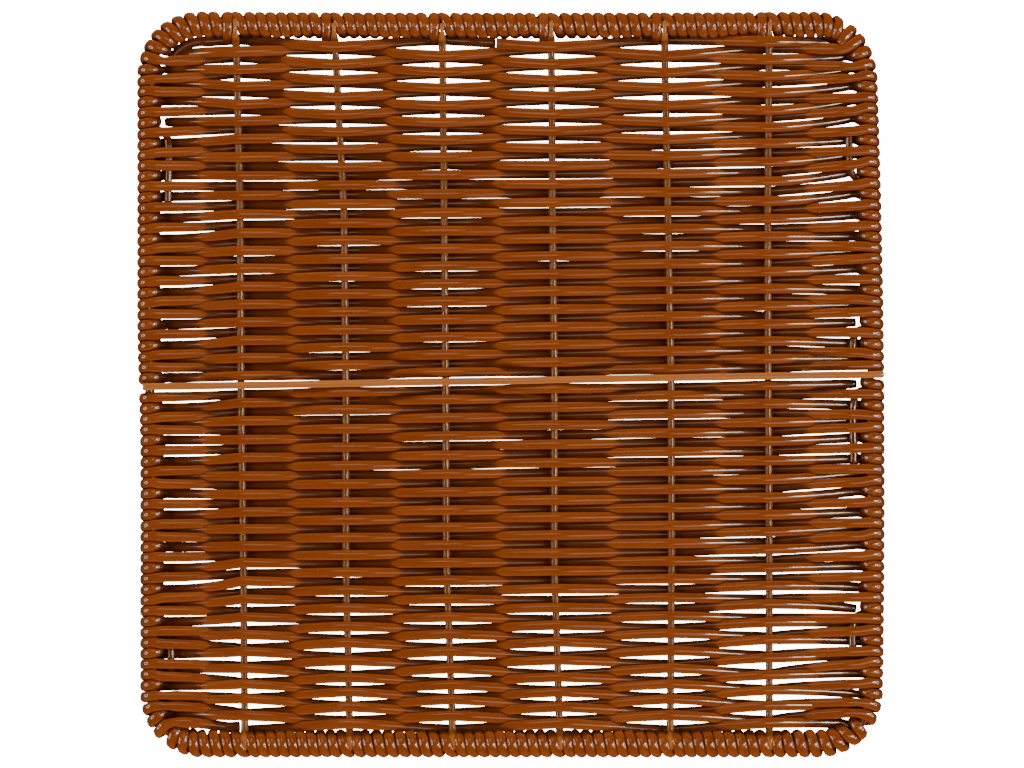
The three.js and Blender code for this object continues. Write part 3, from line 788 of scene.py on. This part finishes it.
def windings(name, side, start, end, stake_places, left_first):
    """The strand wound round the top or the bottom bar, in lengths that are numbered from the left."""
    stretches, here = [], start
    for stake in stake_places:
        stretches.append(spread(here, stake + TURN_TO_STAKE))
        here = stake - TURN_PAST_STAKE
    stretches.append(spread(here, end, LAST_STRETCH_STEPS[side]))
    lengths = []
    for index in range(0, len(stretches), STAKES_PER_WINDING):
        # Along the top the first turn past each stake is straight and slack. The one before a stake leans
        # over to pass under its flattened end
        passes = []
        for number, stretch in enumerate(stretches[index:index + STAKES_PER_WINDING], index):
            for place, (s, pitch) in enumerate(stretch):
                under = place == len(stretch) - 1 and number < len(stretches) - 1
                passes.append((s, pitch, side == "top" and place == 0 and number > 0, under))
        s, pitch, slack, under = passes[0]
        loose = SLACK if slack else 0.0
        stations = [turn_station(side, s + 0.1, 180, pitch, loose),
                    turn_station(side, s + 0.05, 135, pitch, loose)]
        for number, (s, pitch, slack, under) in enumerate(passes):
            lean = 0.0 if slack else chance.uniform(-0.1, 0.1)
            stations.append(turn_station(side, s + lean, 90, pitch))
            reach = SLACK_SHIFT if slack else UNDER_TAB_SHIFT if under else WINDING_SHIFT
            if number < len(passes) - 1:
                after, _, slack_after, _ = passes[number + 1]
                stations += between_turns(side, s, after, pitch, loose=SLACK if slack_after else 0.0,
                                          reach=reach,
                                          next_reach=SLACK_SHIFT if slack_after else WINDING_SHIFT)
            else:
                stations += between_turns(side, s, s - pitch, pitch, stop=-90, reach=reach)
        lengths.append(stations)
    if not left_first:
        lengths.reverse()
    for number, stations in enumerate(lengths, 1):
        lot = 9000.0 + 700.0 * number + (50.0 if left_first else 0.0)
        strand_piece(f"{name}_{number}", stations, lot)


# ---------------------------------------------------------------- wires

def frame_wire():
    stations = []
    for corner in range(4):
        middle = math.pi / 2 * (corner + 0.5)
        centre = Vector((math.cos(middle), math.sin(middle), 0)) * (STRAIGHT * math.sqrt(2))
        for step in range(9):
            angle = math.pi / 2 * (corner + step / 8)
            out = Vector((math.cos(angle), math.sin(angle), 0))
            stations.append(station(centre + out * CORNER_RADIUS, UP, FRAME_WIRE, FRAME_WIRE))
        if corner == 3:
            # It ends halfway up the right bar, and the stretch from there to its start isn't made
            stations.append(station(Vector((BAR, -0.2, 0)), UP, FRAME_WIRE, FRAME_WIRE))
    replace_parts(sweep("frame_wire_bar", stations, wire, step=4.0, sides=16), "frame_wire")


def stakes():
    """The stakes stand in the frame, and their flattened ends bend forward over its bars."""
    tab_z = FRAME_WIRE / 2 + CLEARANCE + 0.7
    bend_y = TOP_ROW_Y + ROW_HEIGHT / 2 + 0.1
    tab_y = BAR - FRAME_WIRE / 2 - 0.2
    tip_y = BAR + TAB_OVERHANG
    bottom = [(-tip_y + 0.3, tab_z, 1.0, 0.8), (-tip_y + 1.4, tab_z, 2.2, 1.2), (-tab_y, tab_z, 3.4, 1.5),
              (-bend_y, STAKE_Z + 0.2, 3.2, 2.8)]
    straight = [(y, STAKE_Z, STAKE_WIRE, STAKE_WIRE)
                for y in (-bend_y + 4, -105, -70, -35, 0, 35, 70, 105, bend_y - 5)]
    bend = [(bend_y - 1.6, STAKE_Z + 0.8, 3.3, 2.6), (bend_y + 0.4, STAKE_Z + 2.0, 3.0, 2.3),
            (bend_y + 2.4, tab_z + 0.7, 1.9, 1.7)]
    for stake in range(STAKE_COUNT):
        top_y = BAR + TAB_TOP[stake]
        top = [(top_y - 3.0, tab_z + 1.0, 1.6, 1.4), (top_y - 1.2, tab_z + 1.1, 1.9, 1.5),
               (top_y - 0.2, tab_z + 1.0, 1.9, 1.4)]
        stations = [station(Vector((stake_x(stake, y), y, z)), Vector((1, 0, 0)), across, deep)
                    for y, z, across, deep in bottom + straight + bend + top]
        name = f"stake_{stake + 1}"
        piece = sweep(f"{name}_wire", stations, wire, step=2.0, sides=16,
                      lot=20000.0 + 400.0 * stake, ends=("cut", "round"))
        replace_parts(piece, name)


def brace_rod():
    left, right = -BAR - ROD_OVERHANG_LEFT, BAR + ROD_OVERHANG_RIGHT
    stations = []
    for step in range(9):
        x = mix(left, right, step / 8)
        lift = chance.uniform(-0.1, 0.1)
        place = Vector((x, slot_y(ROD_SLOT, x) + lift, ROD_Z))
        stations.append(station(place, UP_PANEL, ROD_WIDTH, ROD_WIDTH))
    piece = sweep("brace_rod_wire", stations, lit_rod_wire, step=3.0, sides=18, lot=24000.0,
                  ends=("cut", "round"))
    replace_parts(piece, "brace_rod")


frame_wire()
stakes()
brace_rod()
weavers()
windings("top_binding", "top", corner_place(90 - CORNER_TURNS["top_right"]["winding"]),
         -corner_place(90 - CORNER_TURNS["top_left"]["winding"]),
         [stake_x(stake, BAR) for stake in reversed(range(STAKE_COUNT))], False)
windings("bottom_binding", "bottom", corner_place(90 - CORNER_TURNS["bottom_left"]["winding"]),
         -corner_place(90 - CORNER_TURNS["bottom_right"]["winding"]),
         [-stake_x(stake, -BAR) for stake in range(STAKE_COUNT)], True)


# ---------------------------------------------------------------- floor and light

WARM = (1.0, 0.87, 0.72)
AMBER = (1.0, 0.76, 0.5)
# The lowest turns reach a little below the CAD's
FLOOR_Z = -0.12

bpy.ops.mesh.primitive_plane_add(size=6, location=(0, 0, FLOOR_Z * MM))
floor = bpy.context.active_object
floor.name = "floor"
floor_material = bpy.data.materials.new("floor")
floor_material.use_nodes = True
floor_nodes, floor_links = floor_material.node_tree.nodes, floor_material.node_tree.links
floor_shader = floor_nodes["Principled BSDF"]
floor_shader.inputs["Base Color"].default_value = (0.05, 0.05, 0.05, 1)
floor_shader.inputs["Roughness"].default_value = 0.9
# The floor is lit up for the eye alone, so that it reads as white without lighting the panel's back
glow = floor_nodes.new("ShaderNodeEmission")
glow.inputs["Strength"].default_value = 16.0
rays = floor_nodes.new("ShaderNodeLightPath")
pick = floor_nodes.new("ShaderNodeMixShader")
floor_links.new(rays.outputs["Is Camera Ray"], pick.inputs["Fac"])
floor_links.new(floor_shader.outputs["BSDF"], pick.inputs[1])
floor_links.new(glow.outputs["Emission"], pick.inputs[2])
floor_links.new(pick.outputs["Shader"], floor_nodes["Material Output"].inputs["Surface"])
floor.data.materials.append(floor_material)


def ring_light(name, place, outer, inner, strength):
    """An eight-sided ring that faces the panel and is only mirrored in it."""
    bpy.ops.object.select_all(action="DESELECT")
    bpy.ops.mesh.primitive_circle_add(vertices=8, radius=outer, fill_type="NGON")
    light = bpy.context.active_object
    light.name = name
    bpy.ops.object.mode_set(mode="EDIT")
    bpy.ops.mesh.select_all(action="SELECT")
    bpy.ops.mesh.inset(thickness=outer - inner)
    bpy.ops.mesh.delete(type="FACE")
    bpy.ops.object.mode_set(mode="OBJECT")
    light.location = place
    light.rotation_euler = (-Vector(place)).to_track_quat("Z", "Y").to_euler()
    material = bpy.data.materials.new(name)
    material.use_nodes = True
    nodes = material.node_tree.nodes
    nodes.remove(nodes["Principled BSDF"])
    lamp = nodes.new("ShaderNodeEmission")
    lamp.inputs["Color"].default_value = (*WARM, 1)
    lamp.inputs["Strength"].default_value = strength
    material.node_tree.links.new(lamp.outputs["Emission"], nodes["Material Output"].inputs["Surface"])
    light.data.materials.append(material)
    light.visible_camera = False
    light.visible_diffuse = False


def softbox(name, place, wide, high, watts, colour, seen=False, lights=True):
    """A soft rectangular lamp that faces the panel: mirrored in it, lighting it, or both."""
    lamp = bpy.data.lights.new(name, "AREA")
    lamp.shape = "RECTANGLE"
    lamp.size = wide
    lamp.size_y = high
    lamp.energy = watts
    lamp.color = colour
    light = bpy.data.objects.new(name, lamp)
    light.location = place
    # Its width lies along the rows, whichever side it stands on
    away = Vector(place).normalized()
    across = Vector((1, 0, 0)) - away * away.x
    across.normalize()
    light.rotation_euler = Matrix((across, away.cross(across), away)).transposed().to_euler()
    light.visible_glossy = seen
    light.visible_diffuse = lights
    bpy.context.scene.collection.objects.link(light)


ring_light("left_ring", (-1.58, 0.0, 0.98), 0.54, 0.37, 13.0)
ring_light("right_ring", (1.58, 0.0, 0.98), 0.54, 0.37, 14.0)
softbox("top_softbox", (0, 1.65, 0.55), 1.8, 0.45, 54.0, WARM)
softbox("bottom_softbox", (0, -1.65, 0.55), 1.8, 0.45, 54.0, WARM)
softbox("left_softbox", (-1.45, 0, 1.0), 0.8, 0.8, 13.0, WARM)
softbox("right_softbox", (1.45, 0, 1.0), 0.8, 0.8, 13.0, WARM)
softbox("left_streak", (-0.06, 0.12, 0.42), 0.22, 0.16, 0.19, AMBER, seen=True, lights=False)
softbox("right_streak", (0.25, -0.15, 0.42), 0.34, 0.16, 0.38, AMBER, seen=True, lights=False)
softbox("stake_streak", (0.8, 0, 1.1), 0.28, 0.22, 6.5, WARM, seen=True, lights=False)

world = bpy.data.worlds.new("studio")
world.use_nodes = True
world.node_tree.nodes["Background"].inputs["Color"].default_value = (1, 0.86, 0.72, 1)
world.node_tree.nodes["Background"].inputs["Strength"].default_value = 0.02
bpy.context.scene.world = world
